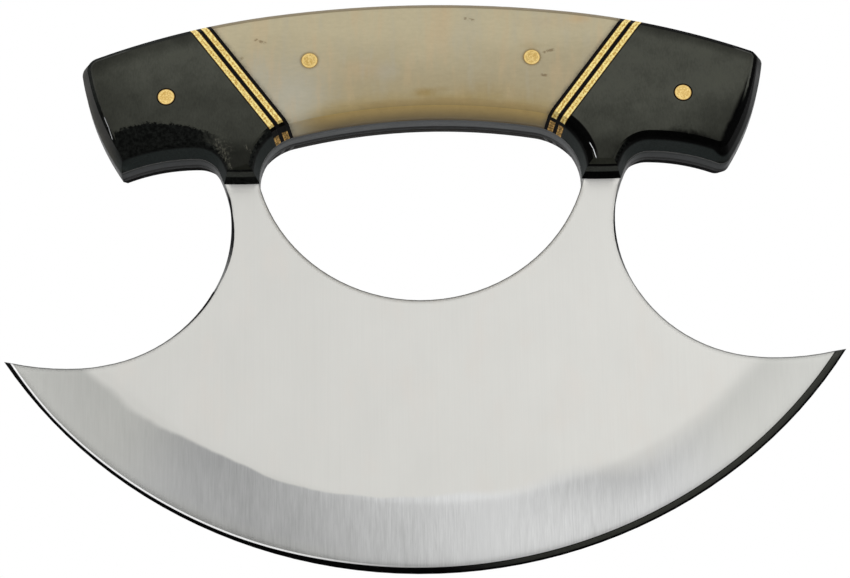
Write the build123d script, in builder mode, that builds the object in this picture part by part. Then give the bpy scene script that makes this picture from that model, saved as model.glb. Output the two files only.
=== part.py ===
from build123d import *
from math import cos, radians, sin, sqrt, tan
import os

# Ulu knife in millimetres. X runs along the chord of the cutting edge, Z up from the
# lowest point of the edge to the handle, and Y through the thickness, the front at -Y.

# Blade plate: one sheet of steel holds the crescent, the two posts and the full tang.
# The bay's share is its radius over the height from its floor to the left grip.
plate_thickness = 5.0
edge_radius = 113.6
bay_floor = 48.5
bay_share = 0.666
wing_radius = 62.0
bay_corner_radius = 6.0

# Grinds: a wide wedge from the flat to the edge, set a little to the right, then the hone
grind_width = 15.7
grind_drift = 1.4
grind_edge_thickness = 0.95
hone_angle = 24.5
edge_land = 0.1

# Relief ground off the outer edges of the posts, fading out along the bay
left_relief = 0.9
right_relief = 0.5
relief_half_turn = 25.0
relief_turn = 10.0

# Finger opening between the posts, under the flat arch of the handle
opening_radius = 38.2
opening_drift = 0.3
opening_drop = 6.2
arch_height = 107.8
arch_radius = 134.0
arch_drift = 2.5
left_opening_corner_radius = 10.6
right_opening_corner_radius = 12.8
post_width = 7.95

# Handle outline, shared by the tang and the scales. Drops are measured down from the arch.
handle_depth = 28.35
crown_radius = 268.0
crown_reach = 35.0
shoulder_radius = 178.0
left_reach = 78.75
right_reach = 79.25
end_radius = 62.0
foot_setback = 9.8
grip_radius = 42.0
left_grip_offset = 52.5
right_grip_offset = 51.5
left_grip_drop = 8.85
right_grip_drop = 8.6
left_crown_corner_radius = 3.2
right_crown_corner_radius = 2.1
foot_corner_radius = 2.4

# Scales on both sides of the tang, each ending in a short tongue on either post. The
# tongues' drop is measured down from the lower outer corner of the posts.
scale_thickness = 6.0
scale_draft = 16.0
scale_edge_bevel = 0.9
tongue_drop = 6.3
tongue_bulge = 0.6
tongue_spread = 10.0

# Facets dressed along the underside of each horn and down its right end
left_facet_radius = 26.0
left_facet_offset = 60.1
left_facet_drop = 28.7
left_facet_angle = 11.0
right_facet_radius = 15.3
right_facet_offset = 57.0
right_facet_drop = 21.8
right_facet_angle = 27.0

# Spacer stacks between horn and bone, counted from the horn inwards
brass_spacer_thickness = 1.35
middle_spacer_thickness = 0.9
bone_spacer_thickness = 0.8
spacer_lean = 36.2
stack_rise = 8.2
left_stack_offset = 41.1
right_stack_offset = 38.8

# Pins through both scales and the tang
pin_diameter = 3.8
pin_clearance = 0.02
left_end_pin_inset = 20.25
right_end_pin_inset = 19.2
left_end_pin_share = 0.148
right_end_pin_share = 0.116
middle_pin_offset = 25.6
middle_pin_share = 0.451

cut_overrun = 2.0

os.makedirs("parts", exist_ok=True)

half_plate = plate_thickness / 2
half_handle = half_plate + scale_thickness
crown_height = arch_height + handle_depth
opening_height = arch_height - opening_drop
bay_radius = bay_share * (arch_height - left_grip_drop - bay_floor)
bay_height = bay_floor + bay_radius


def meeting(centre_a, radius_a, centre_b, radius_b, side):
    """Where two circles cross: 1 is left of the line from a to b, and -1 is right of it."""
    across, up = centre_b[0] - centre_a[0], centre_b[1] - centre_a[1]
    apart = sqrt(across**2 + up**2)
    along = (apart**2 + radius_a**2 - radius_b**2) / (2 * apart)
    off = side * sqrt(radius_a**2 - along**2)
    x = centre_a[0] + (along * across - off * up) / apart
    z = centre_a[1] + (along * up + off * across) / apart
    return (x, z)


def on_circle(centre, radius, x):
    """The upper point of a circle at a given x."""
    return (x, centre[1] + sqrt(radius**2 - (x - centre[0]) ** 2))


def arc_about(centre, start, end):
    """The arc of under half a turn from start to end on a circle about centre."""
    middle = Vector(*start) + Vector(*end) - Vector(*centre) * 2
    reach = (Vector(*start) - Vector(*centre)).length
    return ThreePointArc(start, Vector(*centre) + middle.normalized() * reach, end)


# Centres that both halves of the outline share
edge_centre = (0, edge_radius)
blank_radius = edge_radius + cut_overrun
crown_centre = (0, crown_height - crown_radius)
arch_centre = (arch_drift, arch_height - arch_radius)
opening_centre = (-opening_drift, opening_height)
bay_offset = sqrt((opening_radius + post_width + bay_radius) ** 2 - (opening_height - bay_height) ** 2)


class Half:
    """Centres and corners of one half of the outline, where side is -1 on the left."""

    def __init__(self, side, reach, grip_offset, grip_drop):
        grip_height = arch_height - grip_drop
        self.side = side
        self.bay = (side * bay_offset, bay_height)
        self.wing = (side * bay_offset, bay_floor + wing_radius)
        self.grip = (side * grip_offset, grip_height - grip_radius)
        self.crown_end = on_circle(crown_centre, crown_radius, side * crown_reach)
        share = 1 - shoulder_radius / crown_radius
        rise = (self.crown_end[1] - crown_centre[1]) * share
        self.shoulder = (self.crown_end[0] * share, crown_centre[1] + rise)
        self.tip = meeting(edge_centre, blank_radius, self.wing, wing_radius, -side)
        self.post_corner = meeting(self.bay, bay_radius, self.grip, grip_radius, -side)
        self.foot = on_circle(self.grip, grip_radius, side * (reach - foot_setback))
        self.shoulder_end = on_circle(self.shoulder, shoulder_radius, side * reach)
        self.arch_corner = meeting(opening_centre, opening_radius, arch_centre, arch_radius, side)

    def draw(self):
        """The lines from the edge's lowest point round to the crown."""
        arc_about(edge_centre, (0, -cut_overrun), self.tip)
        arc_about(self.wing, self.tip, (self.bay[0], bay_floor))
        arc_about(self.bay, (self.bay[0], bay_floor), self.post_corner)
        arc_about(self.grip, self.post_corner, self.foot)
        RadiusArc(self.foot, self.shoulder_end, -self.side * end_radius)
        arc_about(self.shoulder, self.shoulder_end, self.crown_end)
        arc_about(crown_centre, self.crown_end, (0, crown_height))


left = Half(-1, left_reach, left_grip_offset, left_grip_drop)
right = Half(1, right_reach, right_grip_offset, right_grip_drop)

# The rounded outer corners of the handle, each with its radius. The left foot stays sharp.
handle_corners = (
    (right.shoulder_end, right_crown_corner_radius),
    (left.shoulder_end, left_crown_corner_radius),
    (right.foot, foot_corner_radius),
)

with BuildSketch(Plane.XZ) as sharp_outline:
    with BuildLine():
        left.draw()
        right.draw()
    make_face()
    with BuildLine():
        ThreePointArc(
            right.arch_corner,
            (opening_centre[0], opening_height - opening_radius),
            left.arch_corner,
        )
        arc_about(arch_centre, left.arch_corner, right.arch_corner)
    make_face(mode=Mode.SUBTRACT)
    for half, opening_corner_radius in (
        (left, left_opening_corner_radius),
        (right, right_opening_corner_radius),
    ):
        post_corner = sharp_outline.vertices().sort_by_distance(half.post_corner)[0]
        fillet(post_corner, bay_corner_radius)
        arch_corner = sharp_outline.vertices().sort_by_distance(half.arch_corner)[0]
        fillet(arch_corner, opening_corner_radius)

pin_places = (
    (left_end_pin_inset - left_reach, arch_height + left_end_pin_share * handle_depth),
    (-middle_pin_offset, arch_height + middle_pin_share * handle_depth),
    (middle_pin_offset, arch_height + middle_pin_share * handle_depth),
    (right_reach - right_end_pin_inset, arch_height + right_end_pin_share * handle_depth),
)
hole_radius = pin_diameter / 2 + pin_clearance


def disc_section(centre_x, inner, outer, inner_half, outer_half):
    """Section of a disc about the blade's axis: level to inner, then sloping to outer."""
    plane = Plane(
        origin=(centre_x, 0, edge_radius), x_dir=(0, 0, -1), z_dir=(1, 0, 0)
    )
    with BuildSketch(plane) as section:
        with BuildLine():
            Polyline(
                (0, inner_half),
                (inner, inner_half),
                (outer, outer_half),
                (outer, -outer_half),
                (inner, -inner_half),
                (0, -inner_half),
                close=True,
            )
        make_face()
    return section.sketch, Axis((centre_x, 0, edge_radius), (0, 1, 0))


# The wedge and the hone are cones about the edge's own centre, run on past the faces
grind_slope = (plate_thickness - grind_edge_thickness) / 2 / grind_width
proud_half = half_plate + cut_overrun
grind_section, grind_axis = disc_section(
    grind_drift,
    edge_radius - grind_width - cut_overrun / grind_slope,
    edge_radius + grind_drift,
    proud_half,
    grind_edge_thickness / 2 - grind_slope * grind_drift,
)
hone_section, hone_axis = disc_section(
    0,
    edge_radius - (proud_half - edge_land / 2) / tan(radians(hone_angle)),
    edge_radius,
    proud_half,
    edge_land / 2,
)

with BuildPart() as blade:
    extrude(sharp_outline.sketch, amount=half_plate, both=True)
    for corner, corner_radius in handle_corners:
        upright = blade.edges().filter_by(Axis.Y).sort_by_distance((corner[0], 0, corner[1]))
        fillet(upright[0], corner_radius)
    revolve(grind_section, axis=grind_axis, mode=Mode.INTERSECT)
    revolve(hone_section, axis=hone_axis, mode=Mode.INTERSECT)
    with Locations(*[Plane.XZ.location * Location(place) for place in pin_places]):
        Hole(hole_radius)
    # Each relief is a 45 degree cone that meets the bay's wall at both ends of its turn
    for half, relief in ((left, left_relief), (right, right_relief)):
        shift = relief / (1 - cos(radians(relief_half_turn)))
        cone_radius = bay_radius + relief - shift
        middle = Vector(-half.side * cos(radians(relief_turn)), 0, -sin(radians(relief_turn)))
        start = middle.rotate(Axis.Y, -relief_half_turn)
        centre = Vector(half.bay[0], 0, half.bay[1]) + middle * shift
        deep = relief + cut_overrun
        for face in (-1, 1):
            with BuildSketch(
                Plane(centre, x_dir=start, z_dir=start.cross(Vector(0, face, 0)))
            ) as cone_section:
                with BuildLine():
                    Polyline(
                        (cone_radius + cut_overrun, half_plate + cut_overrun),
                        (cone_radius - deep, half_plate + cut_overrun),
                        (cone_radius - deep, half_plate - deep),
                        close=True,
                    )
                make_face()
            revolve(
                cone_section.sketch,
                axis=Axis(centre, (0, 1, 0)),
                revolution_arc=2 * relief_half_turn,
                mode=Mode.SUBTRACT,
            )
blade.part.label = "blade"
export_step(blade.part, "parts/blade.step")

# The handle's part of the outline, with a rounded tongue end across each post
tongue_end_height = min(left.post_corner[1], right.post_corner[1]) - tongue_drop
opening_edge = sqrt(opening_radius**2 - (opening_height - tongue_end_height) ** 2)
bay_edge = bay_offset - sqrt(bay_radius**2 - (tongue_end_height - bay_height) ** 2)
post_middle = (opening_edge + bay_edge) / 2
tongue_side_height = tongue_end_height + tongue_bulge
with BuildSketch() as scale_outline:
    with BuildLine() as right_zone:
        Line((0, tongue_side_height), (post_middle - tongue_spread, tongue_side_height))
        ThreePointArc(
            (post_middle - tongue_spread, tongue_side_height),
            (post_middle, tongue_end_height),
            (post_middle + tongue_spread, tongue_side_height),
        )
        Polyline(
            (post_middle + tongue_spread, tongue_side_height),
            (right_reach + post_middle, tongue_side_height),
            (right_reach + post_middle, crown_height + cut_overrun),
            (0, crown_height + cut_overrun),
        )
        mirror(about=Plane.YZ)
    make_face()
    add(sharp_outline.sketch_local, mode=Mode.INTERSECT)

# Facets, as cones that sink into the front face towards their own centres
facets = (
    (-left_facet_offset, arch_height - left_facet_drop, left_facet_radius, left_facet_angle),
    (right_facet_offset, arch_height - right_facet_drop, right_facet_radius, right_facet_angle),
)

# One whole front scale, lying on its back, drafted and bevelled before it is cut into pieces
with BuildPart() as flat_scale:
    extrude(scale_outline.sketch, amount=scale_thickness, taper=scale_draft)
    for corner, corner_radius in handle_corners:
        uprights = flat_scale.edges().filter_by(
            lambda edge: edge.bounding_box().size.Z > scale_thickness / 2
        )
        fillet(uprights.sort_by_distance(corner)[0], corner_radius)
    front_edges = flat_scale.faces().sort_by(Axis.Z)[-1].edges()
    chamfer(front_edges, scale_edge_bevel)
    for x, z, radius, angle in facets:
        sink = radius * tan(radians(angle))
        section_plane = Plane((x, z, scale_thickness), x_dir=(1, 0, 0), z_dir=(0, -1, 0))
        with BuildSketch(section_plane) as facet_section:
            with BuildLine():
                Polyline(
                    (0, cut_overrun),
                    (radius, cut_overrun),
                    (radius, 0),
                    (0, -sink),
                    close=True,
                )
            make_face()
        revolve(facet_section.sketch, axis=Axis((x, z, 0), (0, 0, 1)), mode=Mode.SUBTRACT)
    with Locations(*pin_places):
        Hole(hole_radius)
scale = Plane.XZ.offset(half_plate).location * flat_scale.part

# Planes across the handle, from the left horn's inner end to the right horn's
layers = (
    ("outer_brass_spacer", brass_spacer_thickness),
    ("middle_black_spacer", middle_spacer_thickness),
    ("inner_brass_spacer", brass_spacer_thickness),
    ("inner_black_spacer", bone_spacer_thickness),
)
half_stack = sum(thickness for name, thickness in layers) / 2


def stack_plane(side, offset, depth):
    """The plane across one stack at a depth from its horn, facing the bone."""
    facing = Vector(-side * cos(radians(spacer_lean)), 0, sin(radians(spacer_lean)))
    middle = Vector(side * offset, 0, arch_height + stack_rise)
    return Plane(middle + facing * (depth - half_stack), x_dir=(0, 1, 0), z_dir=facing)


pieces = []
for side_name, side, offset in (
    ("left", -1, left_stack_offset),
    ("right", 1, right_stack_offset),
):
    depth = 0
    pieces.append((side_name + "_horn_scale", ((stack_plane(side, offset, 0), Keep.BOTTOM),)))
    for name, thickness in layers:
        near = stack_plane(side, offset, depth)
        depth += thickness
        far = stack_plane(side, offset, depth)
        pieces.append((side_name + "_" + name, ((near, Keep.TOP), (far, Keep.BOTTOM))))
bone_ends = (
    (stack_plane(-1, left_stack_offset, 2 * half_stack), Keep.TOP),
    (stack_plane(1, right_stack_offset, 2 * half_stack), Keep.TOP),
)
pieces.append(("bone_scale", bone_ends))

for name, cuts in pieces:
    with BuildPart() as piece:
        add(scale)
        for plane, keep in cuts:
            split(bisect_by=plane, keep=keep)
    with BuildPart() as back_piece:
        add(mirror(piece.part, about=Plane.XZ, mode=Mode.PRIVATE))
    for face_name, made in (("front", piece), ("back", back_piece)):
        made.part.label = face_name + "_" + name
        export_step(made.part, "parts/" + made.part.label + ".step")

for name, place in zip(("left_end", "left_middle", "right_middle", "right_end"), pin_places):
    with BuildPart() as pin:
        with BuildSketch(Plane.XZ):
            with Locations(place):
                Circle(pin_diameter / 2)
        extrude(amount=half_handle, both=True)
    pin.part.label = name + "_pin"
    export_step(pin.part, "parts/" + pin.part.label + ".step")
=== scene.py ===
import math

import bpy
from mathutils import Matrix, Vector

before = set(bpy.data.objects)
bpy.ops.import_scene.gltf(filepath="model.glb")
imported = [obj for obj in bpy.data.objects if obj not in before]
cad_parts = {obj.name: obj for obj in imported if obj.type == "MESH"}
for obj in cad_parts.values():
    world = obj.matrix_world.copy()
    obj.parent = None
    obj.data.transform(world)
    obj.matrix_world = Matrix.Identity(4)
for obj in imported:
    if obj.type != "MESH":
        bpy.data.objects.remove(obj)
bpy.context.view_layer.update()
print("frame loaded")

mm = 0.001  # sizes below are in millimetres, as on the drawing

# how every finish lays on its blots, strokes and worn edges
brush = {
    "blotWander": 1.3,
    "blotRim": (1.6, 0.1),
    "strokeCore": 0.5,  # the share of a stroke's width that is full
    "strokeEnd": 0.3,
    "bevelSamples": 6,
}


def tint(red, green, blue):
    # a screen colour of 0 to 255 as the linear colour that shows as it
    def linear(level):
        level = level / 255
        return level / 12.92 if level <= 0.04045 else ((level + 0.055) / 1.055) ** 2.4

    return (linear(red), linear(green), linear(blue), 1.0)


class Link:
    # one output socket, so that shader maths reads as plain sums
    def __init__(self, home, socket):
        self.home = home
        self.socket = socket

    def __add__(self, other):
        return self.home.maths("ADD", self, other)

    def __radd__(self, other):
        return self.home.maths("ADD", other, self)

    def __sub__(self, other):
        return self.home.maths("SUBTRACT", self, other)

    def __rsub__(self, other):
        return self.home.maths("SUBTRACT", other, self)

    def __mul__(self, other):
        return self.home.maths("MULTIPLY", self, other)

    def __rmul__(self, other):
        return self.home.maths("MULTIPLY", other, self)

    def __truediv__(self, other):
        return self.home.maths("DIVIDE", self, other)

    def __pow__(self, other):
        return self.home.maths("POWER", self, other)

    def __abs__(self):
        return self.home.maths("ABSOLUTE", self)

    def most(self, other):
        return self.home.maths("MAXIMUM", self, other)

    def least(self, other):
        return self.home.maths("MINIMUM", self, other)

    def push(self, reach):
        # a noise of 0 to 1 as a push either way
        return (self - 0.5) * reach


class Tree:
    # the nodes of one material or world, which all come from add
    def __init__(self, owner):
        owner.use_nodes = True
        self.tree = owner.node_tree
        self.tree.nodes.clear()

    def add(self, kind, settings=None, values=None, out=0):
        node = self.tree.nodes.new(kind)
        for key, value in (settings or {}).items():
            if key == "stops":
                self.setStops(node.color_ramp, value)
            else:
                setattr(node, key, value)
        for key, value in (values or {}).items():
            if isinstance(value, Link):
                self.tree.links.new(value.socket, node.inputs[key])
            else:
                node.inputs[key].default_value = value
        return node if out is None else Link(self, node.outputs[out])

    def setStops(self, ramp, stops):
        ramp.interpolation = "CARDINAL"
        while len(ramp.elements) < len(stops):
            ramp.elements.new(0.5)
        for element, (position, colour) in zip(ramp.elements, stops):
            element.position = position
            element.color = colour

    def maths(self, operation, first, second=None):
        values = {0: first} if second is None else {0: first, 1: second}
        return self.add("ShaderNodeMath", {"operation": operation}, values)


class Finish(Tree):
    # one material, whose places are in millimetres
    def __init__(self, name):
        self.material = bpy.data.materials.new(name)
        super().__init__(self.material)
        spot = self.add("ShaderNodeTexCoord", out="Object")
        self.spot = self.scaled(spot, (1 / mm, 1 / mm, 1 / mm))
        self.x, self.y, self.z = self.parts(self.spot)
        self.flat = self.add("ShaderNodeCombineXYZ", {}, {"X": self.x, "Z": self.z})
        normal = self.add("ShaderNodeNewGeometry", out="True Normal")
        _, self.ny, self.nz = self.parts(normal)

    def scaled(self, vector, scale):
        values = {0: vector, 1: scale}
        return self.add("ShaderNodeVectorMath", {"operation": "MULTIPLY"}, values)

    def parts(self, vector):
        node = self.add("ShaderNodeSeparateXYZ", {}, {0: vector}, out=None)
        return [Link(self, socket) for socket in node.outputs]

    def step(self, value, start, end, most=1):
        # a smooth slide from 0 at start to most at end, where start may be past end
        low, high = min(start, end), max(start, end)
        values = {"Value": value, "From Min": low, "From Max": high}
        slide = self.add("ShaderNodeMapRange", {"interpolation_type": "SMOOTHSTEP"}, values)
        slide = 1 - slide if start > end else slide
        return slide if most == 1 else slide * most

    def band(self, value, rise, fall):
        # 1 between two slides and 0 on either side of them
        return self.step(value, *rise) - self.step(value, *fall)

    def away(self, x, z):
        # distance in the plane of the blade from one point of it
        values = {0: self.flat, 1: (x, 0, z)}
        return self.add("ShaderNodeVectorMath", {"operation": "DISTANCE"}, values, out="Value")

    def past(self, circle):
        # distance out from a circle in the plane of the blade
        x, z, radius = circle
        return self.away(x, z) - radius

    def noise(self, stretch, detail, rough, shift=(0, 0, 0)):
        # stretch is how many blotches there are to a millimetre along X, Y and Z
        moved = self.add("ShaderNodeVectorMath", {"operation": "ADD"}, {0: self.spot, 1: shift})
        values = {"Vector": self.scaled(moved, stretch), "Scale": 1.0}
        values.update({"Detail": detail, "Roughness": rough})
        return self.add("ShaderNodeTexNoise", {"noise_dimensions": "3D"}, values, out="Fac")

    def mix(self, mask, under, over, blend="MIX"):
        settings = {"data_type": "RGBA", "blend_type": blend}
        values = {0: mask, 6: under, 7: over}
        return self.add("ShaderNodeMix", settings, values, out=2)

    def times(self, colour, over):
        return self.mix(1.0, colour, over, "MULTIPLY")

    def shade(self, colour, level):
        # the colour times a level that may vary over the surface
        grey = self.add("ShaderNodeCombineXYZ", {}, {"X": level, "Y": level, "Z": level})
        values = {0: colour if isinstance(colour, Link) else colour[:3], 1: grey}
        return self.add("ShaderNodeVectorMath", {"operation": "MULTIPLY"}, values)

    def along(self, value, stops, colours):
        low, high = stops[0][0], stops[-1][0]
        places = [((at - low) / (high - low), colour) for (at, _), colour in zip(stops, colours)]
        part = (value - low) / (high - low)
        return self.add("ShaderNodeValToRGB", {"stops": places}, {"Fac": part}, out="Color")

    def tones(self, value, stops):
        # screen greys of 0 to 255 along a value
        return self.along(value, stops, [tint(level, level, level) for _, level in stops])

    def curve(self, value, stops, most):
        # plain numbers up to most along a value
        greys = [(level / most, level / most, level / most, 1.0) for _, level in stops]
        return self.along(value, stops, greys) * most

    def blot(self, x, z, across, up, warp):
        # an oval stain with a wandering rim: 1 inside and 0 outside
        wide, tall = (self.x - x) / across, (self.z - z) / up
        reach = (wide * wide + tall * tall) ** 0.5 + warp.push(brush["blotWander"])
        return self.step(reach, *brush["blotRim"])

    def strokes(self, lines, width):
        # 1 on straight strokes from one point to another, each given as x, z, x, z
        mask = None
        ends = brush["strokeEnd"]
        for x, z, endX, endZ in lines:
            length = math.hypot(endX - x, endZ - z)
            runX, runZ = (endX - x) / length, (endZ - z) / length
            alongIt = (self.x - x) * runX + (self.z - z) * runZ
            off = abs((self.x - x) * runZ - (self.z - z) * runX)
            beyond = abs(alongIt - length / 2) - length / 2
            line = self.step(off, width, width * brush["strokeCore"])
            line = line * self.step(beyond, ends, -ends)
            mask = line if mask is None else line.most(mask)
        return mask

    def rounded(self, radius):
        # the surface's normal as if its edges were worn round
        values = {"Radius": radius * mm}
        return self.add("ShaderNodeBevel", {"samples": brush["bevelSamples"]}, values)

    def bump(self, height, strength, depth, radius):
        values = {"Height": height, "Strength": strength, "Distance": depth * mm}
        values["Normal"] = self.rounded(radius)
        return self.add("ShaderNodeBump", {}, values)

    def surface(self, **values):
        # the shader itself: names of the sockets, with _ for a space
        sockets = {key.replace("_", " "): value for key, value in values.items()}
        return self.shown(self.add("ShaderNodeBsdfPrincipled", {}, sockets))

    def shown(self, shader):
        self.add("ShaderNodeOutputMaterial", {}, {"Surface": shader}, out=None)
        return self.material


def dress(names, material):
    for name in names:
        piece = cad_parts[name]
        piece.data.materials.clear()
        piece.data.materials.append(material)


# In the finishes below, two numbers are where a slide starts and ends, and a third is how
# far it goes, unless a note says otherwise. A row of pairs is a curve: places along it, each
# with its level. A noise is its blotches to a millimetre along X, Y and Z, its detail, its
# roughness and its shift. A circle is its centre's x and z, and its radius. A relief is its
# strength, its depth and how round it shows the edges.

# the blade: brushed flats, a softly drawn grind and a hone painted dark as painted reflection
blade = {
    "edgeRadius": 113.6,
    "opening": (-0.3, 101.6, 38.2),
    "bay": (77.3, 82.1, 33.6),
    "wing": (77.3, 110.5, 62.0),  # the bay's wall runs on into it
    "hardEdge": 0.01,  # as good as a sharp change
    # how square to the front a face stands, where one kind gives way to the next
    "pastWall": (0.35, 0.55),
    "pastRelief": (0.80, 0.85),
    "pastHone": (0.93, 0.96),
    # the flats, with a faint pink blush
    "flatTone": ((-95, 210), (-60, 211), (0, 216), (60, 221), (95, 219)),
    "flatWarmth": (1.0, 0.993, 0.945, 1.0),
    "brushing": ((4.0, 1.0, 0.05), 3.0, 0.6),
    "brushingDepth": 0.07,
    "clouds": ((0.10, 0.10, 0.06), 3.0, 0.6),
    "cloudDepth": 0.08,
    "blush": ((0.16, 0.16, 0.07), 2.0, 0.5, (40, 0, 7)),
    "blushFade": (0.5, 0.8, 0.2),
    "blushColour": (0.72, 0.655, 0.60, 1.0),
    # the grind, by the angle round the edge, where the tips lie at about -57 and 57
    "grindInset": (
        (-60, 12.8), (-48.5, 13.2), (-45.5, 14.0), (-40.5, 13.8), (-34, 15.3), (-30, 16.0),
        (-22.8, 16.0), (-18.5, 15.4), (-10, 16.1), (0, 16.9), (6, 17.2), (10, 16.0),
        (17, 16.5), (21, 15.7), (25, 13.4), (29, 12.0), (35, 12.8), (44, 14.1), (60, 14.4),
    ),
    "mostInset": 20,
    "insetWander": 1.2,
    "wander": ((0.12, 0.12, 0.12), 2.0, 0.5),
    "grindBlur": (
        (-60, 1.3), (-42, 1.1), (-32, 0.5), (-5, 0.4), (8, 1.2), (20, 2.8), (30, 3.6),
        (40, 2.8), (60, 1.9),
    ),
    "mostBlur": 4,
    # the grind's tones are partly its satin finish and partly painted shade from its tilt
    "upperTone": (
        (-60, 184), (-48, 183), (-40, 183), (-30, 167), (-20, 178), (-10, 198), (0, 214),
        (10, 224), (19, 207), (26, 198), (30, 205), (38, 205), (60, 204),
    ),
    "lowerTone": (
        (-60, 191), (-45, 188), (-35, 184), (-25, 177), (-16, 182), (-8, 200), (0, 216),
        (10, 231), (25, 222), (40, 215), (60, 212),
    ),
    "upperShare": (0.25, 0.95),
    "streaks": (
        (-95, 0.2), (-60, 0.5), (-40, 1.0), (5, 0.9), (12, 0.4), (28, 0.9), (52, 0.7),
        (62, 0.25), (95, 0.2),
    ),
    "fineStreaks": ((3.2, 1.0, 0.10), 4.0, 0.7),
    "fineDepth": 0.50,
    "broadStreaks": ((0.7, 0.5, 0.10), 3.0, 0.6, (11, 0, 3)),
    "broadDepth": 0.30,
    "lowestInset": (5.0, 1.5),
    "lowestAngle": (-4, -14),
    "lowestLift": 0.07,
    "lowestWarm": 0.5,
    "warmAngle": (28, 42),
    "grindCool": (0.995, 1.003, 0.998, 1.0),
    "grindWarm": (1.0, 1.003, 0.955, 1.0),
    # the hone, painted dark as painted reflection: how far in it reaches, how it thins to the
    # left and widens at the left tip
    "honeInset": 1.30,
    "honeSwing": 0.55,
    "tipAngle": -48,
    "tipWidening": 0.045,
    "thinning": (-6, -24, 0.30),
    "honeLine": (0.04, -0.04),
    "thinLine": (0.05, -0.03),
    # a painted highlight line inside the hone, which also glows faintly
    "honeHighlight": (0.40, 0.32),
    "honeHighlightAngle": (2, -18),
    "highlightWhite": (1.0, 1.0, 1.0, 1.0),
    "highlightGlow": 0.3,
    # the hone's painted dark reflection, by the angle round the edge
    "honeTone": ((-60, 30), (-52, 14), (2, 22), (10, 62), (60, 74)),
    "honeWarmth": (0.97, 1.0, 0.86, 1.0),
    "honeWarmAngle": (0, 12),
    "grit": ((5.0, 5.0, 5.0), 2.0, 0.6),
    "gritLow": 0.6,
    "gritReach": 0.8,
    # its rims, painted near black as painted shade
    "edgeRim": (0.48, 0.34),
    "innerRim": (0.22, 0.10),
    "rimColour": tint(8, 8, 8),
    # the fine outline of the plate, and its dark run beside the left post
    "outlineColour": tint(86, 88, 88),
    "outline": (0.30, 0.12, 0.75),
    "shadowX": (-38.0, -41.0),
    "shadowLow": (46.0, 64.0),
    "shadowHigh": (93.0, 88.5),
    "shadowWidth": 0.45,
    "shadowLine": (0.1, -0.1),
    # the walls: painted dark as shade, and lighter where they face upwards, as painted light
    "wallColour": tint(22, 23, 24),
    "litUpperWall": tint(140, 141, 140),
    "upwards": (0.05, 0.35),
    # the tang's edge under the handle, ground and not polished
    "tangColour": tint(107, 109, 110),
    "tangFrom": (92.6, 93.0),
    "longGrain": ((0.12, 3.2, 0.12), 3.0, 0.7),
    "longShare": 0.6,
    "shortGrain": ((1.5, 4.0, 1.5), 2.0, 0.6),
    "shortShare": 0.4,
    "grainLow": 0.25,
    "grainReach": 1.5,
    "tangEnds": (30.0, 42.0, 0.6),
    # a painted highlight along the tang's front edge, and painted shade over its back half
    "tangFrontHighlight": tint(120, 120, 116),
    "tangHighlightFade": (-2.0, -2.35, 0.7),
    "tangBackShade": tint(10, 10, 10),
    "tangShadeFade": (0.6, 1.2),
    # the posts' tops get a faint painted glow that hides the handle's reflection in them
    "postTopGlow": (90.4, 92.6, 0.12),
    "roughness": 0.34,
    "roughReach": 0.1,
    "gloss": 0.03,
    "scoring": ((9.0, 1.0, 0.05), 3.0, 0.6),
    "scoringRelief": (0.12, 0.02, 2.5),
}


def plateOutline(f):
    # how far a place is inside the plate, from the nearest of the opening and both bays
    gap = f.past(blade["opening"])
    x, z, radius = blade["bay"]
    wingX, wingZ, wingRadius = blade["wing"]
    for side in (-1, 1):
        beyond = f.step(f.x * side, x - blade["hardEdge"], x + blade["hardEdge"])
        bay = f.past((side * x, z, radius))
        wing = f.past((side * wingX, wingZ, wingRadius))
        gap = gap.least(bay + (wing - bay) * beyond)
    return gap


def tangSteel(f):
    ground = blade["longShare"] * f.noise(*blade["longGrain"])
    ground = ground + blade["shortShare"] * f.noise(*blade["shortGrain"])
    tang = f.shade(blade["tangColour"], blade["grainLow"] + ground * blade["grainReach"])
    tang = f.mix(f.step(abs(f.x), *blade["tangEnds"]), tang, blade["wallColour"])
    # painted highlight along the front edge, painted shade over the back half
    tang = f.mix(f.step(f.y, *blade["tangHighlightFade"]), tang, blade["tangFrontHighlight"])
    return f.mix(f.step(f.y, *blade["tangShadeFade"]), tang, blade["tangBackShade"])


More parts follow.
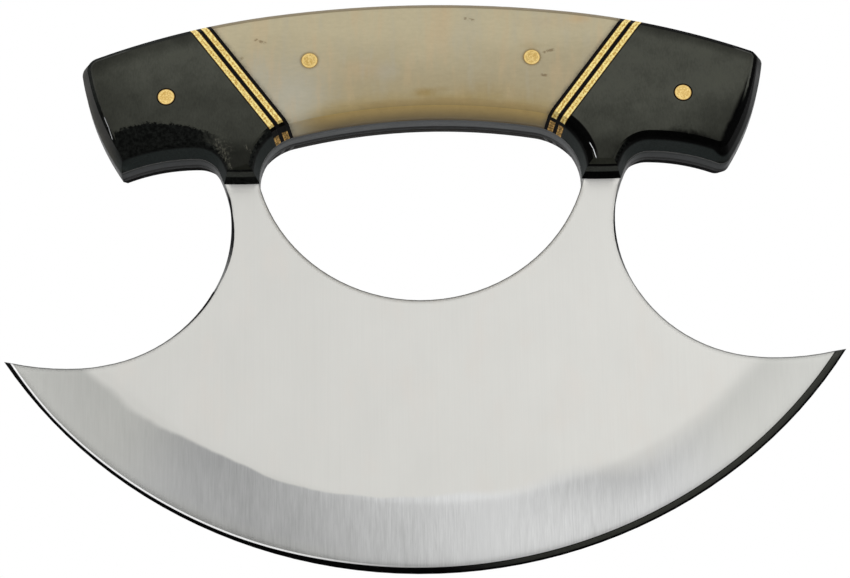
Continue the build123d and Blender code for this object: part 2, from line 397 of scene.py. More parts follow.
def bladeSteel():
    f = Finish("brushedBladeSteel")
    turn = abs(f.ny)
    pastWall = f.step(turn, *blade["pastWall"])
    pastRelief = f.step(turn, *blade["pastRelief"])
    pastHone = f.step(turn, *blade["pastHone"])
    inset = blade["edgeRadius"] - f.away(0, blade["edgeRadius"])
    angle = f.maths("ARCTAN2", f.x, blade["edgeRadius"] - f.z) * math.degrees(1)

    lines = f.noise(*blade["brushing"])
    clouds = f.noise(*blade["clouds"]).push(blade["cloudDepth"])
    level = 1.0 + lines.push(blade["brushingDepth"]) + clouds
    flat = f.times(f.shade(f.tones(f.x, blade["flatTone"]), level), blade["flatWarmth"])
    blush = f.step(f.noise(*blade["blush"]), *blade["blushFade"])
    flat = f.mix(blush, flat, blade["blushColour"])

    # the grind's border wanders and is sharpest a little left of the middle
    wander = f.noise(*blade["wander"]).push(blade["insetWander"])
    border = f.curve(angle, blade["grindInset"], blade["mostInset"]) + wander
    blur = f.curve(angle, blade["grindBlur"], blade["mostBlur"])
    grindMask = f.step((border - inset) / blur, -1.0, 1.0)
    # grind tones: partly its finish, partly painted shade from its tilt
    lower, upper = f.tones(angle, blade["lowerTone"]), f.tones(angle, blade["upperTone"])
    grind = f.mix(f.step(inset / border, *blade["upperShare"]), lower, upper)
    fine = f.noise(*blade["fineStreaks"]).push(blade["fineDepth"])
    broad = f.noise(*blade["broadStreaks"]).push(blade["broadDepth"])
    streak = (fine + broad) * f.curve(f.x, blade["streaks"], 1)
    lowest = f.step(inset, *blade["lowestInset"]) * f.step(angle, *blade["lowestAngle"])
    grind = f.shade(grind, 1.0 + streak + lowest * blade["lowestLift"])
    warm = f.step(abs(angle), *blade["warmAngle"]).most(lowest * blade["lowestWarm"])
    grind = f.times(grind, f.mix(warm, blade["grindCool"], blade["grindWarm"]))
    steel = f.mix(grindMask, flat, grind)

    # the hone, painted dark as painted reflection, is slimmer on the left and wider at the left
    # tip, with a painted highlight line inside it
    swing = f.maths("SINE", angle * math.radians(1)) * blade["honeSwing"]
    tip = (blade["tipAngle"] - angle).most(0) * blade["tipWidening"]
    inner = blade["honeInset"] + swing + tip
    thinner = inner - f.step(angle, *blade["thinning"])
    hone = (pastRelief - pastHone).most(f.step(inset - inner, *blade["honeLine"]) * pastHone)
    hone = hone * f.step(inset - thinner, *blade["thinLine"])
    # the painted highlight line, white and faintly glowing
    paintedHighlight = f.step(inset - thinner, *blade["honeHighlight"]) * (1 - hone)
    paintedHighlight = paintedHighlight * f.step(angle, *blade["honeHighlightAngle"])
    steel = f.mix(paintedHighlight, steel, blade["highlightWhite"])
    # the hone's painted dark reflection, with rims painted near black as painted shade
    grit = blade["gritLow"] + f.noise(*blade["grit"]) * blade["gritReach"]
    honeTone = f.shade(f.tones(angle, blade["honeTone"]), grit)
    warm = f.step(angle, *blade["honeWarmAngle"])
    honeTone = f.mix(warm, honeTone, blade["honeWarmth"], "MULTIPLY")
    rims = f.step(inset, *blade["edgeRim"]).most(f.step(inner - inset, *blade["innerRim"]))
    steel = f.mix(hone, steel, f.mix(rims, honeTone, blade["rimColour"]))

    # the plate's outline, its walls, painted dark as shade and lighter facing up as painted
    # light, and the tang
    gap = plateOutline(f)
    steel = f.mix(f.step(gap, *blade["outline"]), steel, blade["outlineColour"])
    shadow = f.step(f.x, *blade["shadowX"]) * f.step(f.z, *blade["shadowLow"])
    shadow = shadow * f.step(f.z, *blade["shadowHigh"])
    shadowLine = f.step(gap - shadow * blade["shadowWidth"], *blade["shadowLine"])
    steel = f.mix(shadowLine * shadow, steel, blade["wallColour"])
    upwards = f.step(f.nz, *blade["upwards"])
    dull = 1 - pastRelief
    steel = f.mix(dull, steel, f.mix(upwards, blade["wallColour"], blade["litUpperWall"]))
    onTang = (1 - pastWall) * f.step(f.z, *blade["tangFrom"])
    steel = f.mix(onTang, steel, tangSteel(f))
    # painted light: a faint glow on the posts' tops and along the hone's painted highlight
    paintedGlow = f.step(f.z, *blade["postTopGlow"]) * pastHone + paintedHighlight * blade["highlightGlow"]
    return f.surface(
        Base_Color=steel,
        Metallic=1 - dull,
        Specular_IOR_Level=blade["gloss"],
        Roughness=blade["roughness"] + lines.push(blade["roughReach"]),
        Emission_Color=f.shade(blade["highlightWhite"], paintedGlow),
        Emission_Strength=1.0,
        Normal=f.bump(f.noise(*blade["scoring"]), *blade["scoringRelief"]),
    )


# how square to the front the handle's faces stand, and what all its pieces share
handle = {
    "pastWall": (0.45, 0.6),
    "pastBevel": (0.84, 0.86),
    "middle": (-1.0, 1.0),
    "hornPins": ((-58.5, 112.0), (60.05, 111.1)),  # x and z of each
    "bonePins": ((-25.6, 120.6), (25.6, 120.6)),
    "pinRadius": 1.9,
}

# the stacks lean outwards: at one height, the x of each one's middle, then how much of x and
# of z (the rise) counts across it towards the bone, and half its thickness
stacks = {
    "left": (-41.1, 0.807),
    "right": (38.8, -0.807),
    "height": 116.0,
    "rise": 0.5906,
    "half": 2.2,
}


def stackDepth(f):
    # how far a place is past the horn's side of the nearer stack
    depths = [
        (f.x - x) * lean + (f.z - stacks["height"]) * stacks["rise"] + stacks["half"]
        for x, lean in (stacks["left"], stacks["right"])
    ]
    return depths[0].least(depths[1])


# the horn: a satin face over rolled edges painted nearly black, as painted dark reflection
horn = {
    "faceColour": tint(45, 47, 34),
    "faceLevel": 0.95,
    "bandColour": tint(10, 11, 10),
    "wallColour": tint(37, 42, 41),
    "leftEnd": tint(46, 45, 40),
    "rightEnd": tint(28, 30, 29),
    "footStrip": tint(56, 58, 54),
    "scuffColour": tint(112, 110, 98),
    "highlightColour": tint(236, 238, 240),
    "shadedBackColour": tint(10, 10, 10),
    "pastFacet": (0.985, 0.999),
    "facetTurn": (0.87, 0.885),
    "underside": (-0.1, -0.3),
    "front": (0.0, -0.1),
    "mottle": ((0.2, 0.2, 0.2), 5.0, 0.65),
    "mottleDepth": 0.9,
    "fine": ((2.5, 2.5, 1.0), 4.0, 0.7),
    "fineDepth": 0.6,
    "ragged": ((1.3, 1.3, 1.3), 5.0, 0.75, (3, 0, 5)),
    # painted shade: how the face darkens down to the tongues, up to the crown and out to the
    # ends
    "tongueFall": (103.0, 97.5),
    "leftFall": (122.0, 109.0, 0.36),
    "leftTongueFall": 0.40,
    "rightFall": (112.0, 102.0, 0.25),
    "rightTongueFall": 0.34,
    "crown": (11.75, -42.6, 178.0),
    "leftCrown": (6.8, 3.2, 0.42),
    "rightCrown": (5.6, 2.9, 0.48),
    "crownEdge": (3.2, 2.6, 0.15),
    "leftEndFall": (-66.0, -72.5, 0.26),
    "rightEndX": (59, 67),
    "rightEndFall": (113, 106, 0.34),
    # circles of each facet's rim and of the opening's right corner on the face, where painted
    # dark reflection begins
    "leftRim": (-60.1, 79.1, 26.0),
    "leftRimLine": (0.7, 0.0),
    "leftRimWander": 3.0,
    "rightRim": (57.0, 86.0, 15.3),
    "rightRimLine": (2.0, -0.6),
    "rightRimWander": 5.0,
    "corner": (23.65, 93.14, 15.4),
    "cornerLine": (1.4, 1.1),
    "cornerX": (20, 24),
    "cornerZ": (94.0, 98.0),
    # the scuffed patch beside the left tongue
    "scuffStart": (-51.0, -45.0),
    "scuffMottle": 8,
    "scuffRagged": 4,
    "scratches": (
        (-47.2, 101.3, -46.7, 99.5), (-46.8, 101.3, -46.3, 99.6), (-46.3, 100.7, -45.7, 99.2),
        (-45.8, 99.3, -44.7, 97.2), (-45.6, 98.0, -44.2, 96.2), (-44.9, 96.8, -45.1, 95.3),
        (-44.1, 98.0, -44.0, 96.5), (-44.2, 96.0, -43.5, 93.9), (-40.4, 99.7, -39.9, 98.4),
        (-39.4, 98.4, -39.0, 97.6), (-46.4, 98.2, -45.6, 95.6),
    ),
    "scratchWidth": 0.42,
    "scratchBreaks": (0.46, 0.60),
    "scratchLevel": 0.34,
    "patch": (-45.6, 98.4, 2.2, 3.6),
    "patchBreaks": (0.48, 0.66, 0.8),
    # the bevel's painted black is thin beside the tongues and at the ends
    "besideLeftX": (-50.0, -48.0),
    "besideLeftZ": (103.5, 102.0),
    "besideRightX": (42.0, 43.0),
    "besideRightEnd": (50.0, 47.0),
    "besideRightZ": (100.0, 98.0),
    "leftEndX": (-66.0, -69.0),
    "rightTipX": (72.0, 73.0),
    "rightTipZ": (108.0, 113.0),
    "thinBevel": (8.14, 8.26),
    "thinWander": 0.3,
    "tongueEndTurn": (-0.35, -0.5),
    "footTurn": (-0.5, -0.8),
    "footZ": (96.5, 95.5),
    "stripFrom": (4.9, 5.3),
    "stripTo": (6.7, 7.0),
    # the straight wedge of painted dark reflection down the right end: its slope, its border and
    # where it starts
    "wedgeX": 0.912,
    "wedgeZ": 0.409,
    "wedgeWander": 1.5,
    "wedgeLine": (21.0, 22.1),
    "wedgeStart": (60, 66),
    "rolledDepth": (5.9, 6.9),
    "rolledX": (-71.0, -68.0),
    "endRollX": (66, 69),
    "endRoll": (118, 104, 1.8),
    "pinRing": (2.3, 2.1),
    "stackLine": (-0.36, -0.18, 0.8),
    # the walls at the ends, the left one painted lighter than the right as painted light, and
    # how the left one fades from its outer edge
    "endWalls": (68, 72),
    "endFade": (4.0, 7.0, 0.45),
    "outerDepth": (5.0, 2.6),
    "outerWander": 3.0,
    "outerZ": (117.0, 110.0, 0.9),
    "wallLow": 0.3,
    "wallReach": 1.4,
    # how far the painted blacks lift in ragged patches, more on the left
    "blackLeft": 0.4,
    "blackReach": 0.4,
    "blackBreaks": (0.35, 0.7),
    "blackLeftReach": 2.6,
    "blackTop": (109.0, 116.0, 3.0),
    "besideBreaks": (0.42, 0.62, 2.5),
    # painted highlights along the left end and the right tongue
    "leftHighlight": ((-72.6, 107.2, -71.6, 104.7), (-71.6, 104.7, -70.7, 101.9)),
    "leftHighlightLevel": 0.45,
    "rightHighlight": ((38.25, 98.9, 39.0, 97.4), (39.0, 97.4, 39.6, 95.2)),
    "highlightWidth": 0.10,
    "roughness": 0.42,
    "wallRoughness": 0.18,
    "shadedBackRoughness": 0.4,
    "gloss": 0.02,
    "coatLevel": 0.98,
    "coatOffWalls": 0.75,
    "coatRoughness": 0.3,
    "relief": (0.1, 0.02, 0.5),
}


def hornShadeAndMottle(f, left, right, mottle, fine):
    # painted shade darkens the face and its sheen down the tongues, under the crown and towards
    # the ends, over a random mottle
    down = f.step(f.z, *horn["tongueFall"])
    fallLeft = f.step(f.z, *horn["leftFall"]) + down * horn["leftTongueFall"]
    fallRight = f.step(f.z, *horn["rightFall"]) + down * horn["rightTongueFall"]
    x, z, radius = horn["crown"]
    crown = radius - (f.away(-x, z) * left + f.away(x, z) * right)
    underCrown = f.step(crown, *horn["leftCrown"]) * left
    underCrown = underCrown + f.step(crown, *horn["rightCrown"]) * right
    rightEnd = f.step(f.x, *horn["rightEndX"]) * f.step(f.z, *horn["rightEndFall"])
    level = (1.0 - fallLeft * left - fallRight * right) * (1 - underCrown)
    level = level * (1 - f.step(crown, *horn["crownEdge"]))
    level = level * (1.0 + mottle.push(horn["mottleDepth"]) + fine.push(horn["fineDepth"]))
    return level * (1 - f.step(f.x, *horn["leftEndFall"])) * (1 - rightEnd)


def hornWalls(f, foot, right, fine, ragged):
    # grained walls, each end in its own tone, the left lighter than the right as painted light,
    # with a grey strip along the foot
    depth = abs(f.y)
    ends = f.mix(right, horn["leftEnd"], horn["rightEnd"])
    walls = f.mix(f.step(abs(f.x), *horn["endWalls"]), horn["wallColour"], ends)
    outer = f.step(depth + ragged.push(horn["outerWander"]), *horn["outerDepth"])
    outer = outer * f.step(f.z, *horn["outerZ"])
    fade = f.step(f.x, *horn["leftEndX"]) * (f.step(depth, *horn["endFade"]) - outer)
    walls = f.mix(foot, f.shade(walls, 1 - fade), horn["footStrip"])
    return f.shade(walls, horn["wallLow"] + fine * horn["wallReach"])


def blackHorn():
    f = Finish("blackHorn")
    turn = abs(f.ny)
    depth = abs(f.y)
    right = f.step(f.x, *handle["middle"])
    left = 1 - right
    pastWall = f.step(turn, *handle["pastWall"])
    wall = 1 - pastWall
    bevel = pastWall - f.step(turn, *handle["pastBevel"])
    face = f.step(turn, *horn["pastFacet"])
    facet = f.step(turn, *horn["facetTurn"]) - face
    mottle = f.noise(*horn["mottle"])
    fine = f.noise(*horn["fine"])
    ragged = f.noise(*horn["ragged"])
    level = hornShadeAndMottle(f, left, right, mottle, fine)

    # the left facet's ragged black band, painted dark reflection, ends in a scuffed grey patch
    # beside the tongue
    place = f.x + mottle.push(horn["scuffMottle"]) + ragged.push(horn["scuffRagged"])
    scuffed = f.step(place, *horn["scuffStart"]) * left
    wander = ragged.push(horn["leftRimWander"]) + mottle.push(horn["leftRimWander"])
    leftRim = f.step(f.past(horn["leftRim"]) + wander, *horn["leftRimLine"]) * left
    wander = mottle.push(horn["rightRimWander"])
    rightRim = f.step(f.past(horn["rightRim"]) + wander, *horn["rightRimLine"]) * right
    band = (facet.most(leftRim * face) * left * (1 - scuffed)).most(facet * right)
    scratch = f.strokes(horn["scratches"], horn["scratchWidth"])
    scratch = scratch * f.step(fine, *horn["scratchBreaks"])
    patch = f.blot(*horn["patch"], mottle) * f.step(ragged, *horn["patchBreaks"])
    scratch = scratch.most(patch)

    # painted black widens along the opening's right corner as painted shade, and thins beside
    # the tongues
    corner = f.step(f.past(horn["corner"]), *horn["cornerLine"])
    corner = corner * f.step(f.z, *horn["cornerZ"]) * f.step(f.x, *horn["cornerX"])
    besideLeft = f.step(f.x, *horn["besideLeftX"]) * f.step(f.z, *horn["besideLeftZ"]) * left
    besideRight = f.step(f.x, *horn["besideRightX"]) * f.step(f.x, *horn["besideRightEnd"])
    besideRight = besideRight * f.step(f.z, *horn["besideRightZ"])
    beside = besideLeft.most(besideRight)
    rightTip = f.step(f.x, *horn["rightTipX"]) * f.step(f.z, *horn["rightTipZ"])
    thin = beside.most(f.step(f.x, *horn["leftEndX"]).most(rightTip))
    inBevel = f.step(depth + fine.push(horn["thinWander"]), *horn["thinBevel"])
    paintedBlackBevel = bevel * (1 - thin * inBevel)
    lowEnd = f.step(f.z, *horn["footZ"])
    tongueEnd = bevel * f.step(f.nz, *horn["tongueEndTurn"]) * lowEnd

    # a straight wedge of painted dark reflection runs down the right end, and painted black
    # rolls over the edges and the foot
    slope = f.x * horn["wedgeX"] - f.z * horn["wedgeZ"] + mottle.push(horn["wedgeWander"])
    wedge = f.step(slope, *horn["wedgeLine"]) * f.step(f.x, *horn["wedgeStart"])
    endRoll = f.step(f.x, *horn["endRollX"]) * f.step(f.z, *horn["endRoll"])
    rolled = wall * f.step(depth + endRoll, *horn["rolledDepth"])
    rolled = rolled * f.step(f.x, *horn["rolledX"])
    foot = wall * f.step(f.nz, *horn["footTurn"]) * lowEnd
    strip = f.band(depth, horn["stripFrom"], horn["stripTo"])
    # painted dark reflection on bands, bevels, wedge and rolled edges, plus dark joints round
    # the pins and along the stacks
    paintedShadeAndSeams = band.most(paintedBlackBevel * (1 - tongueEnd))
    paintedShadeAndSeams = paintedShadeAndSeams.most(rightRim.most(wedge).most(corner) * (face + facet))
    paintedShadeAndSeams = paintedShadeAndSeams.most(rolled * (1 - foot)).most(foot * (1 - strip))
    for x, z in handle["hornPins"]:
        paintedShadeAndSeams = paintedShadeAndSeams.most(f.step(f.away(x, z), *horn["pinRing"]))
    paintedShadeAndSeams = paintedShadeAndSeams.most(f.step(stackDepth(f), *horn["stackLine"]) * (face + facet))

    walls = hornWalls(f, foot, right, fine, ragged)
    colour = f.mix(wall, f.shade(horn["faceColour"], level * horn["faceLevel"]), walls)
    raggedPatches = f.step(ragged, *horn["blackBreaks"])
    blacks = raggedPatches * (left * horn["blackLeftReach"] + horn["blackReach"])
    blacks = blacks + left * horn["blackLeft"]
    blacks = blacks + f.step(f.z, *horn["blackTop"]) * left * bevel
    blacks = blacks + beside * bevel * f.step(ragged, *horn["besideBreaks"])
    colour = f.mix(paintedShadeAndSeams, colour, f.shade(horn["bandColour"], blacks))
    colour = f.mix(scratch * (1 - wall) * horn["scratchLevel"], colour, horn["scuffColour"])
    front = f.step(f.ny, *horn["front"])
    # painted highlights, as glints on the rolled edges
    lights = f.strokes(horn["leftHighlight"], horn["highlightWidth"]) * horn["leftHighlightLevel"]
    lights = lights + f.strokes(horn["rightHighlight"], horn["highlightWidth"])
    colour = f.mix(lights * front * (1 - wall), colour, horn["highlightColour"])
    # painted shade: the back pieces' lower walls are painted near black
    shadedBackWall = wall * (1 - front) * f.step(f.nz, *horn["underside"])
    coat = (level * horn["coatLevel"]).least(1.0) * (1 - paintedShadeAndSeams)
    coat = coat * (1 - wall * horn["coatOffWalls"])
    roughness = horn["roughness"] + wall * horn["wallRoughness"]
    return f.surface(
        Base_Color=f.mix(shadedBackWall, colour, horn["shadedBackColour"]),
        Roughness=roughness + shadedBackWall * horn["shadedBackRoughness"],
        Specular_IOR_Level=horn["gloss"],
        Coat_Weight=coat * (1 - shadedBackWall),
        Coat_Roughness=horn["coatRoughness"],
        Normal=f.bump(fine, *horn["relief"]),
    )


# the bone: creamy grey with a tan top, an ochre foot and a few dark pores
bone = {
    "top": tint(190, 179, 148),
    "middle": tint(172, 160, 130),
    "grey": tint(182, 178, 161),
    "tan": tint(194, 166, 128),
    "cool": tint(176, 174, 164),
    "ochre": tint(160, 140, 91),
    "core": tint(136, 106, 62),
    "stain": tint(150, 128, 80),
    "orange": tint(204, 164, 112),
    "wallTop": tint(182, 156, 99),
    "wallLow": tint(130, 114, 81),
    "pore": tint(104, 82, 50),
    "crest": tint(120, 104, 74),
    "halo": tint(96, 94, 88),
    "shadedBackWall": tint(26, 24, 20),
    "clouds": ((0.06, 0.06, 0.10), 4.0, 0.6),
    "strands": ((0.5, 0.5, 1.6), 4.0, 0.6),
    "strandDepth": 0.16,
    "grain": ((1.1, 1.1, 1.1), 3.0, 0.65),
    "grainDepth": 0.10,
    "pillars": ((0.28, 0.28, 0.05), 3.0, 0.6, (5, 0, 9)),
    "pillarDepth": 0.16,
    "tanPillars": (0.50, 0.66, 0.25),
    "greyPillars": (0.48, 0.32, 0.25),
    "topFade": (115.0, 129.0),
    "topWander": 12,
    # the blots' rims wander with the clouds and the grain
    "cloudShare": 0.5,
    "grainShare": 0.5,
    # each blot: x, z, half its width and height, how strong it is, and its colour
    "blots": (
        (-30.0, 111.5, 9.5, 9.5, 0.80, "grey"),
        (-37.5, 118.0, 3.0, 5.0, 0.45, "grey"),
        (-8.0, 117.6, 2.6, 2.4, 0.28, "cool"),
        (-14.0, 118.2, 4.5, 2.4, 0.28, "tan"),
        (5.0, 128.0, 2.2, 7.5, 0.32, "tan"),
        (37.0, 130.2, 2.4, 1.0, 0.35, "orange"),
        (31.0, 129.5, 8.0, 2.0, 0.18, "tan"),
        (25.4, 123.4, 2.6, 1.1, 0.22, "stain"),
        (1.0, 112.0, 2.4, 1.2, 0.80, "stain"),
        (4.6, 112.9, 1.8, 0.7, 0.30, "stain"),
        (14.0, 112.0, 6.0, 2.4, 0.32, "stain"),
        (24.0, 109.8, 5.0, 2.6, 0.25, "stain"),
    ),
    # the ochre foot: the arch that it follows, and where it sets in from the left
    "arch": (2.5, -26.2, 136.6),
    "ochreX": (-29.0, -20.0, 0.92),
    "ochreLeast": 0.08,
    "ochreGlow": (9.0, 0.0, 0.22),
    "glowWander": 4.0,
    "ochreRise": (2.4, -1.6),
    "ochreWander": 6.0,
    "ochrePillars": 1.5,
    "ochreLevel": 0.8,
    "coreRise": (0.6, -0.6),
    "coreWander": 2.0,
    "coreX": (-18.0, -10.0, 0.2),
    "pores": (
        (-37.5, 125.8, -35.6, 125.1), (-38.3, 126.1, -37.4, 125.9), (-41.3, 121.6, -40.9, 121.2),
        (11.1, 130.5, 12.5, 130.1), (10.2, 130.7, 10.9, 130.6), (28.9, 122.0, 30.8, 122.4),
        (28.2, 121.6, 29.0, 121.9), (27.6, 116.1, 29.0, 115.9),
    ),
    "poreWidth": 0.46,
    "poreBreaks": (0.42, 0.58, 0.6),
    "pinStain": (2.5, 1.9, 0.45),
    # the underside, the bevel above it and the crest
    "underside": (-0.1, -0.4),
    "underX": (-32.0, -20.0),
    "underDepth": (2.8, 7.4),
    "seamDepth": (3.1, 2.7, 0.5),
    "bevelLift": 0.04,
    "crestTurn": (0.1, 0.4, 0.7),
    "haloReach": (1.3, 0.0),
    "haloLevel": 0.15,
    "haloGrain": (0.45, 0.6, 0.3),
    "back": (0.0, 1.0),
    "roughness": 0.35,
    "shadedBackRoughness": 0.6,
    "gloss": 0.2,
    "relief": (0.08, 0.02, 1.6),
}


def polishedBone():
    f = Finish("polishedBone")
    turn = abs(f.ny)
    depth = abs(f.y)
    clouds = f.noise(*bone["clouds"])
    strands = f.noise(*bone["strands"])
    grain = f.noise(*bone["grain"])
    pillars = f.noise(*bone["pillars"])
    height = f.z + clouds.push(bone["topWander"])
    colour = f.mix(f.step(height, *bone["topFade"]), bone["middle"], bone["top"])
    warp = bone["cloudShare"] * clouds + bone["grainShare"] * grain
    for x, z, across, up, strength, name in bone["blots"]:
        colour = f.mix(f.blot(x, z, across, up, warp) * strength, colour, bone[name])
    colour = f.mix(f.step(pillars, *bone["tanPillars"]), colour, bone["tan"])
    colour = f.mix(f.step(pillars, *bone["greyPillars"]), colour, bone["grey"])

    # ochre and brown gather above the foot's arch, less so at the left
    out = f.past(bone["arch"])
    reach = f.step(f.x, *bone["ochreX"]) + bone["ochreLeast"]
    glow = f.step(out + clouds.push(bone["glowWander"]), *bone["ochreGlow"])
    colour = f.mix(glow * reach, colour, bone["ochre"])
    ochre = out + clouds.push(bone["ochreWander"]) + pillars.push(bone["ochrePillars"])
    ochre = f.step(ochre, *bone["ochreRise"]) * reach
    colour = f.mix(ochre * bone["ochreLevel"], colour, bone["ochre"])
    core = f.step(out + clouds.push(bone["coreWander"]), *bone["coreRise"])
    colour = f.mix(core * f.step(f.x, *bone["coreX"]), colour, bone["core"])
    pores = f.strokes(bone["pores"], bone["poreWidth"]) * f.step(grain, *bone["poreBreaks"])
    colour = f.mix(pores, colour, bone["pore"])
    for x, z in handle["bonePins"]:
        colour = f.mix(f.step(f.away(x, z), *bone["pinStain"]), colour, bone["stain"])

    # the underside runs from ochre at the front to brown at the tang
    low = f.step(f.nz, *bone["underside"])
    pastWall = f.step(turn, *handle["pastWall"])
    pastBevel = f.step(turn, *handle["pastBevel"])
    under = (1 - pastWall) * low
    tone = f.mix(f.step(depth, *bone["underDepth"]), bone["wallLow"], bone["wallTop"])
    colour = f.mix(under * f.step(f.x, *bone["underX"]), colour, tone)
    colour = f.mix(under * f.step(depth, *bone["seamDepth"]), colour, bone["pore"])
    # painted light: the bevel above the underside is lifted slightly lighter
    colour = f.shade(colour, 1.0 + (pastWall - pastBevel) * low * bone["bevelLift"])
    crest = (1 - pastBevel) * f.step(f.nz, *bone["crestTurn"])
    colour = f.mix(crest, colour, bone["crest"])
    halo = f.step(stackDepth(f) - 2 * stacks["half"], *bone["haloReach"])
    halo = halo * (bone["haloLevel"] + f.step(grain, *bone["haloGrain"]))
    colour = f.mix(halo, colour, bone["halo"])
    # painted shade: the back piece's underside is painted near black
    shadedBackWall = under * f.step(f.y, *bone["back"])
    colour = f.mix(shadedBackWall, colour, bone["shadedBackWall"])
    level = 1.0 + strands.push(bone["strandDepth"]) + pillars.push(bone["pillarDepth"])
    return f.surface(
        Base_Color=f.shade(colour, level + grain.push(bone["grainDepth"])),
        Roughness=bone["roughness"] + shadedBackWall * bone["shadedBackRoughness"],
        Specular_IOR_Level=bone["gloss"],
        Normal=f.bump(strands, *bone["relief"]),
    )


# the spacers' brass, painted darker as shade where the stacks turn down the underside
brass = {
    "light": tint(255, 238, 160),
    "deep": tint(192, 148, 62),
    "middle": tint(196, 160, 88),
    "wall": tint(184, 146, 84),
    "seam": tint(140, 92, 34),
    "gap": tint(14, 12, 10),
    "layers": (0.0, 1.35, 2.25, 3.6),  # where the two brass layers start and end
    "grain": ((2.1, 2.1, 2.1), 3.0, 0.7),
    "grainShare": 0.8,
    "spread": ((1.1, 1.1, 1.1), 3.0, 0.6, (2, 0, 6)),
    "spreadShare": 0.2,
    "grainBreaks": (0.42, 0.56),
    # from each layer's edge inwards: a dark seam, a painted highlight line and a duller middle
    "seamLine": (0.14, 0.04, 0.75),
    "edgeHighlightFrom": (0.08, 0.18),
    "edgeHighlightTo": (0.30, 0.42),
    "edgeHighlightLevel": 0.45,
    "middleFrom": (0.36, 0.56, 0.42),
    # on the underside a black band of painted shadow at the kink parts the face's brass from the
    # wall's
    "underside": (-0.1, -0.2),
    "kinkShadowStart": 7.7,
    "kinkShadowStartRight": 0.4,
    "kinkShadowWidth": 2.3,
    "kinkShadowWidthRight": 1.1,
    "kinkShadowLine": (-0.1, 0.1),
    "lipDepth": (8.2, 8.1),
    "wallMottle": (0.40, 0.62),
    "wallMottleLow": 0.7,
    "wallMottleLeast": 0.35,
    "wallMottleSeam": (0.5, 0.2, 0.7),
    "back": (0.0, 1.0),
    "roughness": 0.4,
    "shadedBackRoughness": 0.5,
    "gloss": 0.1,
    "edgeRound": 0.12,
}


def spacerBrass():
    f = Finish("spacerBrass")
    turn = abs(f.ny)
    depth = abs(f.y)
    right = f.step(f.x, *handle["middle"])
    grain = f.noise(*brass["grain"])
    speckle = brass["grainShare"] * grain + brass["spreadShare"] * f.noise(*brass["spread"])
    tone = f.mix(f.step(speckle, *brass["grainBreaks"]), brass["deep"], brass["light"])
    across = stackDepth(f)
    seam = abs(across - brass["layers"][0])
    for place in brass["layers"][1:]:
        seam = seam.least(abs(across - place))
    tone = f.mix(f.step(seam, *brass["middleFrom"]), tone, brass["middle"])
    # a painted highlight line just inside each layer's edge
    light = f.band(seam, brass["edgeHighlightFrom"], brass["edgeHighlightTo"]) * brass["edgeHighlightLevel"]
    tone = f.mix(light, tone, brass["light"])
    tone = f.mix(f.step(seam, *brass["seamLine"]), tone, brass["seam"])

    # the face's brass runs on over the bevel, and a black band of painted shadow parts it from
    # the underside's brass, which is painted darker as shade
    low = f.step(f.nz, *brass["underside"])
    pastWall = f.step(turn, *handle["pastWall"])
    wall = (1 - pastWall) * low
    out = depth - (brass["kinkShadowStart"] - right * brass["kinkShadowStartRight"])
    width = brass["kinkShadowWidth"] - right * brass["kinkShadowWidthRight"]
    near, far = brass["kinkShadowLine"]
    under = f.step(out, far, near) * wall
    gap = under * f.step(out + width, near, far)
    # the underside brass, painted darker as shade, with a grainy mottle
    wallMottle = f.step(grain, *brass["wallMottle"])
    wallMottle = wallMottle * (brass["wallMottleLow"] + f.step(seam, *brass["wallMottleSeam"])) + brass["wallMottleLeast"]
    tone = f.mix(under, tone, f.shade(brass["wall"], wallMottle))
    # the left stack's lower lip is painted black too, as painted shadow
    lip = low * (pastWall - f.step(turn, *handle["pastBevel"]))
    lip = lip * f.step(depth, *brass["lipDepth"]) * (1 - right)
    tone = f.mix(gap.most(lip), tone, brass["gap"])
    # painted shade: the back stack's underside is painted black
    shadedBackWall = wall * f.step(f.y, *brass["back"])
    return f.surface(
        Base_Color=f.mix(shadedBackWall, tone, brass["gap"]),
        Metallic=1 - shadedBackWall,
        Roughness=brass["roughness"] + shadedBackWall * brass["shadedBackRoughness"],
        Specular_IOR_Level=brass["gloss"],
        Normal=f.rounded(brass["edgeRound"]),
    )


# the pins: a little lighter than the stacks, with a painted highlight round each rim and a fine
# dark seam round each
pins = {
    "colour": tint(250, 221, 148),
    "deep": tint(192, 148, 62),
    "rimColour": tint(252, 224, 148),
    "seamColour": tint(140, 92, 34),
    "grain": ((2.4, 2.4, 2.4), 4.0, 0.8),
    "grainBreaks": (0.40, 0.62),
    "evenness": 0.28,
    "innerLevel": 0.86,
    "outerFrom": (40, 45, 0.14),  # the horn's pins are lighter than the bone's
    "rim": (-0.55, -0.35, 0.4),  # counted outwards from the pin's edge, as the seam is
    "seam": (-0.22, 0.0, 0.8),
    "roughness": 0.38,
    "edgeRound": 0.12,
}


def pinBrass():
    f = Finish("pinBrass")
    places = handle["hornPins"] + handle["bonePins"]
    reach = f.away(*places[0])
    for x, z in places[1:]:
        reach = reach.least(f.away(x, z))
    out = reach - handle["pinRadius"]
    grain = f.step(f.noise(*pins["grain"]), *pins["grainBreaks"])
    tone = f.mix(pins["evenness"], f.mix(grain, pins["deep"], pins["colour"]), pins["colour"])
    tone = f.shade(tone, pins["innerLevel"] + f.step(abs(f.x), *pins["outerFrom"]))
    # a painted highlight round each pin's rim
    tone = f.mix(f.step(out, *pins["rim"]), tone, pins["rimColour"])
    tone = f.mix(f.step(out, *pins["seam"]), tone, pins["seamColour"])
    normal = f.rounded(pins["edgeRound"])
    return f.surface(Base_Color=tone, Metallic=1.0, Roughness=pins["roughness"], Normal=normal)


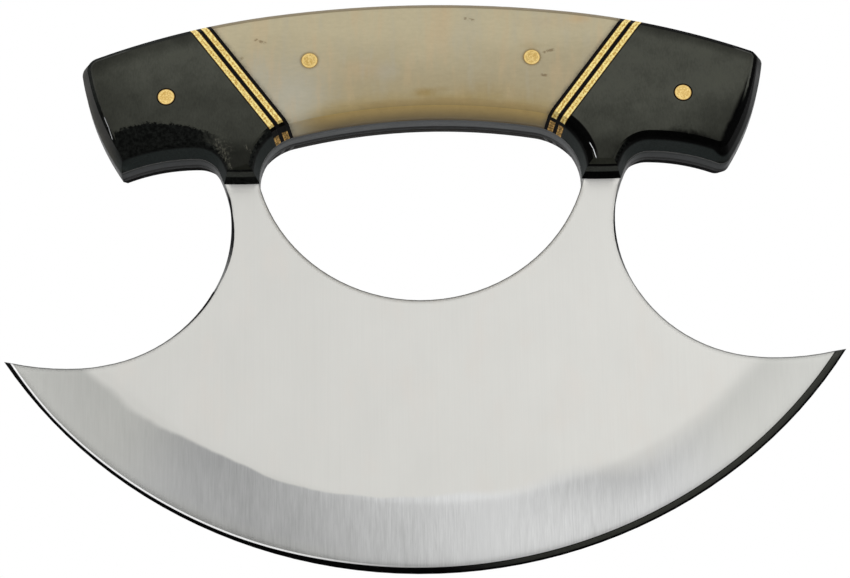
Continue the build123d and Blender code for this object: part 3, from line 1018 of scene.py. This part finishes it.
# the black fibre between the brass layers and beside the bone
fibre = {
    "colour": tint(13, 12, 13),
    "grain": ((4.0, 4.0, 4.0), 2.0, 0.5),
    "grainLow": 0.7,
    "grainReach": 0.6,
    "roughness": 0.5,
    "gloss": 0.06,
    "edgeRound": 0.12,
}


def blackFibre():
    f = Finish("blackFibre")
    level = fibre["grainLow"] + f.noise(*fibre["grain"]) * fibre["grainReach"]
    return f.surface(
        Base_Color=f.shade(fibre["colour"], level),
        Roughness=fibre["roughness"],
        Specular_IOR_Level=fibre["gloss"],
        Normal=f.rounded(fibre["edgeRound"]),
    )


names = list(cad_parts)
dress(["blade"], bladeSteel())
print("blade done")
dress([name for name in names if "horn_scale" in name], blackHorn())
dress([name for name in names if "bone_scale" in name], polishedBone())
print("scales done")
dress([name for name in names if "brass_spacer" in name], spacerBrass())
dress([name for name in names if "black_spacer" in name], blackFibre())
dress([name for name in names if name.endswith("_pin")], pinBrass())
print("stacks and pins done")

# the floor is pale from above, and is not there for a camera below it
studio = {
    "floorReach": 3.0,  # all places in the studio are in metres
    "floorFront": 0.95,  # it stops short of the front lamp
    "floorColour": tint(240, 240, 240),
    "worldColour": (1, 1, 1, 1),
    "worldLevel": 0.42,  # the light on the knife; what the camera and gloss see is white
    "whiteLevel": 1.0,
    "lampTarget": (0, 0, 0.07),
    "lamps": (
        # name, place, size and power in watts
        ("frontLamp", (-0.15, -1.3, 0.02), 0.9, 13.5),
        ("backLamp", (0.3, 1.2, 0.9), 0.9, 8.0),
    ),
}


def makeFloor():
    reach, front = studio["floorReach"], studio["floorFront"]
    corners = [(-reach, -front, 0), (reach, -front, 0), (reach, reach, 0), (-reach, reach, 0)]
    mesh = bpy.data.meshes.new("floor")
    mesh.from_pydata(corners, [], [(0, 1, 2, 3)])
    floor = bpy.data.objects.new("floor", mesh)
    bpy.context.scene.collection.objects.link(floor)
    f = Finish("paleFloor")
    below = f.add("ShaderNodeNewGeometry", out="Backfacing")
    paint = f.add("ShaderNodeBsdfDiffuse", {}, {"Color": studio["floorColour"]})
    clear = f.add("ShaderNodeBsdfTransparent")
    either = f.add("ShaderNodeMixShader", {}, {0: below, 1: paint, 2: clear})
    mesh.materials.append(f.shown(either))


def makeWorld():
    world = bpy.data.worlds.new("studioWorld")
    bpy.context.scene.world = world
    sky = Tree(world)
    camera, glossy, through = (
        sky.add("ShaderNodeLightPath", out=name)
        for name in ("Is Camera Ray", "Is Glossy Ray", "Is Transmission Ray")
    )
    fill, white = (
        sky.add("ShaderNodeBackground", {}, {"Color": studio["worldColour"], "Strength": level})
        for level in (studio["worldLevel"], studio["whiteLevel"])
    )
    seen = camera.most(glossy).most(through)
    light = sky.add("ShaderNodeMixShader", {}, {0: seen, 1: fill, 2: white})
    sky.add("ShaderNodeOutputWorld", {}, {"Surface": light}, out=None)


def makeLamp(name, place, size, power):
    data = bpy.data.lights.new(name, "AREA")
    data.energy = power
    data.size = size
    lamp = bpy.data.objects.new(name, data)
    lamp.location = place
    aim = Vector(studio["lampTarget"]) - lamp.location
    lamp.rotation_euler = aim.to_track_quat("-Z", "Y").to_euler()
    lamp.visible_glossy = False
    bpy.context.scene.collection.objects.link(lamp)


# the camera looks up at the knife from in front and a little below, as the photograph does
shot = {
    "lens": 140.0,
    "sensor": 36.0,
    "place": (0.2, -700.2, -201.7),
    "target": (0.18, 0.0, 67.05),
    "roll": 0.9,
}


def makeCamera():
    data = bpy.data.cameras.new("camera")
    data.lens = shot["lens"]
    data.sensor_width = shot["sensor"]
    camera = bpy.data.objects.new("camera", data)
    place = Vector(shot["place"]) * mm
    aim = Vector(shot["target"]) * mm - place
    turn = aim.to_track_quat("-Z", "Y").to_matrix().to_4x4()
    roll = Matrix.Rotation(math.radians(-shot["roll"]), 4, "Z")
    camera.matrix_world = Matrix.Translation(place) @ turn @ roll
    bpy.context.scene.collection.objects.link(camera)
    bpy.context.scene.camera = camera


makeFloor()
makeWorld()
for lampValues in studio["lamps"]:
    makeLamp(*lampValues)
makeCamera()
bpy.context.scene.view_settings.view_transform = "Standard"
print("studio done")
